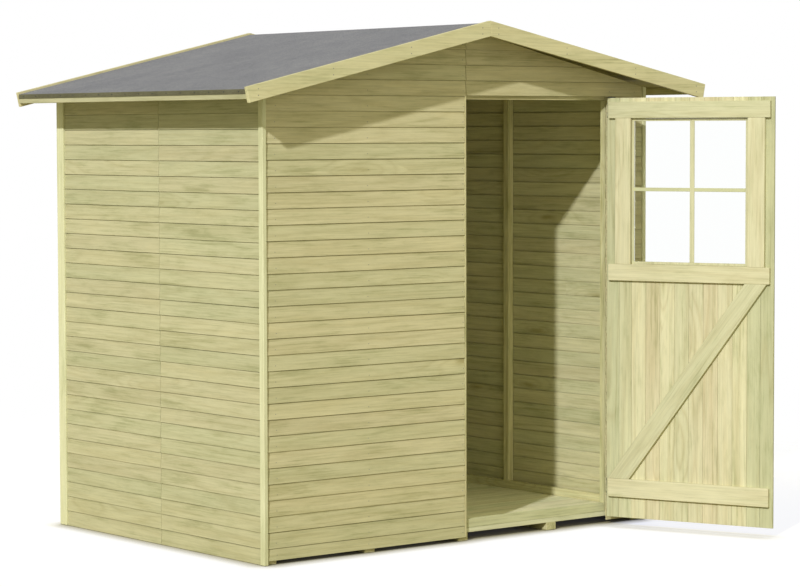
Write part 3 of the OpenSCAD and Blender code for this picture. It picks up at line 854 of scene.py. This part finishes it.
# tones from the free side to the hinge side
doorBoardTones = [0.04, 0.12, 0.75, 0.55, 0.98, 0.50, 0.40, 0.70, 0.95, 0.72, 0.30, 0.10]
doorLow, doorHigh = shutBox("door_boards")
holeLow, holeHigh = shutBox("window_frame")


def spread(start, end, count):
    return [start + (end - start) * i / count for i in range(count)]


boardEdges = spread(doorLow.x, holeLow.x, door["boardsSide"])
boardEdges += spread(holeLow.x, holeHigh.x, door["boardsMiddle"])
boardEdges += spread(holeHigh.x, doorHigh.x, door["boardsSide"]) + [doorHigh.x]
mesh = startPiece()
for a, b, tone in zip(boardEdges, boardEdges[1:], doorBoardTones):
    a, b = a + door["gap"] / 2, b - door["gap"] / 2
    spans = [(doorLow.z, doorHigh.z)]
    if a > holeLow.x - 1e-4 and b < holeHigh.x + 1e-4:
        spans = [(doorLow.z, holeLow.z - door["aroundHole"]), (holeHigh.z + door["aroundHole"], doorHigh.z)]
    for low, high in spans:
        board = boardInto(mesh, (a, doorLow.y, low), (b, doorHigh.y, high), door["ease"], 0, tone)
        for vert in board:
            # a wider groove between boards on the outer face
            inward = (vert.co.y - doorLow.y) / door["ease"]
            if inward < 1.1:
                vert.co.x += door["groove"] * (1 - inward) * (1 if vert.co.x < (a + b) / 2 else -1)
                vert.co.y += door["groove"] * inward
finishPiece(hang(mesh), "door_planks", "doorZ", "door", "door_timber", "door_boards")

easedCopy("door_ledges", "doorX", "door_timber", "door", door["timberEase"], (0.75, 0.5, 0.06))
easedCopy("door_stiles", "stileZ", "door_timber", "door", door["timberEase"])
beads = easedCopy("window_frame", ("stileZ", "doorX"), "trim", "door", door["beadEase"])
for face in beads.data.polygons:
    # the beads above and below the pane run across
    if not holeLow.z + door["bead"] < face.center.z < holeHigh.z - door["bead"]:
        face.material_index = 1

# the brace's grain follows its slant
braceLow, braceHigh = shutBox("door_brace")
slant = math.atan2(braceHigh.z - braceLow.z, braceHigh.x - braceLow.x - door["braceWide"])
alongBrace = (Matrix.Rotation(-slant, 4, "Y") @ Matrix.Rotation(-openTurn, 4, "Z")).to_euler()
finishes["brace"] = woodMaterial("braceWood", alongBrace, *leaf, knots=0.4, strong=0.6)
easedCopy("door_brace", "brace", "door_timber", "door", door["timberEase"], (0.03,))

# glazing bars stand on the inner side of the pane
bars = {
    "upright": 0.020, "across": 0.015, "uprightFrom": 0.3826, "acrossAt": 1.398,
    "deep": 0.0045, "off": 0.0004, "ease": 0.0012, "tone": 0.02,
}
glassLow, glassHigh = shutBox("window_glass")
barNear, barFar = glassHigh.y + bars["off"], glassHigh.y + bars["deep"]
barLeft = doorHigh.x - bars["uprightFrom"] - bars["upright"] / 2
barRight = doorHigh.x - bars["uprightFrom"] + bars["upright"] / 2
barLow, barHigh = bars["acrossAt"] - bars["across"] / 2, bars["acrossAt"] + bars["across"] / 2
mesh = startPiece()
boardInto(mesh, (barLeft, barNear, glassLow.z), (barRight, barFar, glassHigh.z), bars["ease"])
for a, b in ((glassLow.x, barLeft), (barRight, glassHigh.x)):
    setFinish(boardInto(mesh, (a, barNear, barLow), (b, barFar, barHigh), bars["ease"], 0, bars["tone"]), 1)
finishPiece(hang(mesh), "glazing_bars", ("stileZ", "barX"), "door", "trim")
nodes["window_glass"].data.materials.clear()
nodes["window_glass"].data.materials.append(finishes["glass"])

# two nails through each door board into each ledge
doorNails = {"sides": 0.02, "heights": (0.28, 0.72), "stray": 0.008, "radius": 0.003, "rise": 0.0007}
low, high = shutBox("door_ledges")
ledgeMesh = startPiece("door_ledges")
ledgeHeights = []
for found in islandsOf(ledgeMesh):
    heights = [(doorShut @ vert.co).z for vert in found]
    ledgeHeights.append((min(heights), max(heights)))
ledgeMesh.free()
mesh = startPiece()
for lowZ, highZ in ledgeHeights:
    for a, b in zip(boardEdges, boardEdges[1:]):
        middle = (a + b) / 2
        if not low.x + doorNails["sides"] < middle < high.x - doorNails["sides"]:
            continue
        for share in doorNails["heights"]:
            x = middle + (draw.random() - 0.5) * doorNails["stray"]
            at = (x, doorLow.y, lowZ + (highZ - lowZ) * share)
            nailInto(mesh, at, (0, -1, 0), doorNails["radius"], doorNails["rise"])
finishPiece(hang(mesh), "door_nails", "nail", "door", "hinge_metal")

# the hinges, and the screws through their straps
strap = {"ease": 0.0006, "thick": 0.003}
screws = {"radius": 0.0055, "rise": 0.0016, "along": (0.05, 0.13, 0.21, 0.285)}
for nodeName, body in (("hinge_straps", "door"), ("hinge_brackets", "shed")):
    easedCopy(nodeName, "hinge", "hinge_metal", body, strap["ease"])
mesh = startPiece()
for lowZ, highZ in (min(ledgeHeights), max(ledgeHeights)):
    for away in screws["along"]:
        at = (hingePin.x - away, doorLow.y - strap["thick"], (lowZ + highZ) / 2)
        nailInto(mesh, at, (0, -1, 0), screws["radius"], screws["rise"])
finishPiece(hang(mesh), "strap_screws", "nail", "door", "hinge_metal")
print("door made")
